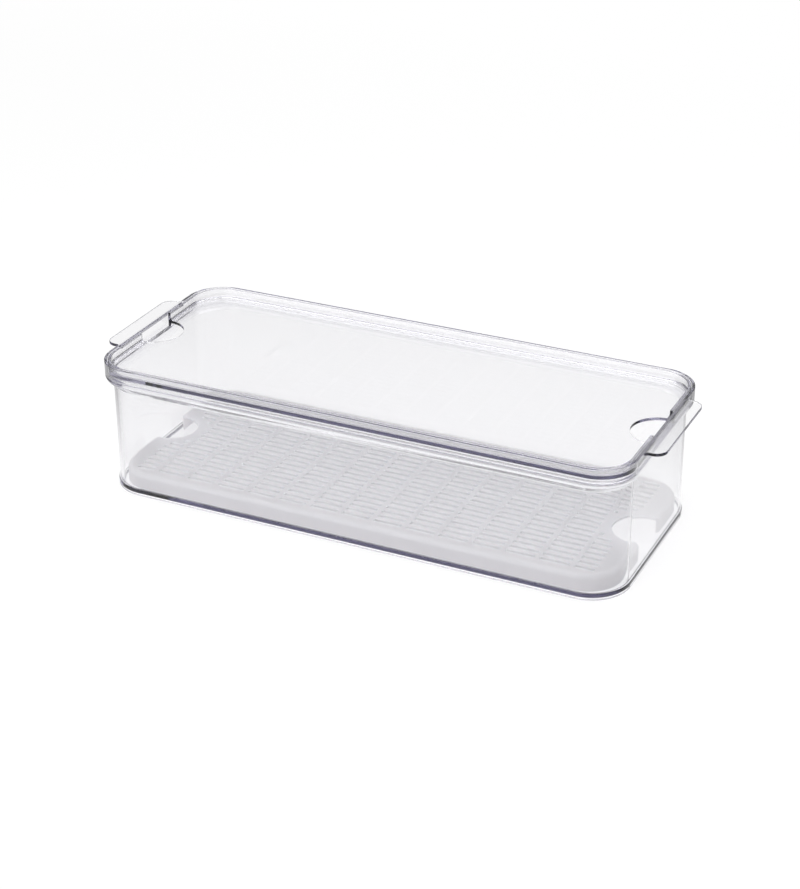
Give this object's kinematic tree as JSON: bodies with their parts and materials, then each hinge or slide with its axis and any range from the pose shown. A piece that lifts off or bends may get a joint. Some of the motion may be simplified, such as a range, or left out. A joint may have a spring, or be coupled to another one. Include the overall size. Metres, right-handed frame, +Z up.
{
  "type": "lidded produce storage bin",
  "caption": "Long clear storage bin with rounded corners, flat tab handles, a drop-in lid with finger openings and a slotted strainer insert.",
  "frame": {"origin": "middle of the footprint, on the surface that the bin stands on", "axes": "+Z up, +X along the length from one tab handle to the other, -Y the long side that faces the viewer"},
  "size_m": [0.406, 0.158, 0.095],
  "materials": {
    "clear_bin": "clear, polished, very faintly grey-violet at its edges",
    "clear_lid": "clear, polished, very faintly grey-violet at its edges",
    "white_insert": "white, satin moulded"
  },
  "bodies": {
    "bin": {"bin": "clear_bin"},
    "lid": {"lid": "clear_lid"},
    "strainer": {"strainer": "white_insert"}
  },
  "joints": [
    {"name": "lid_lift", "type": "slide", "parent": "bin", "child": "lid", "axis": [0, 0, 1], "range_m": [0, 0.12]},
    {"name": "strainer_lift", "type": "slide", "parent": "bin", "child": "strainer", "axis": [0, 0, 1], "range_m": [0, 0.065]}
  ]
}
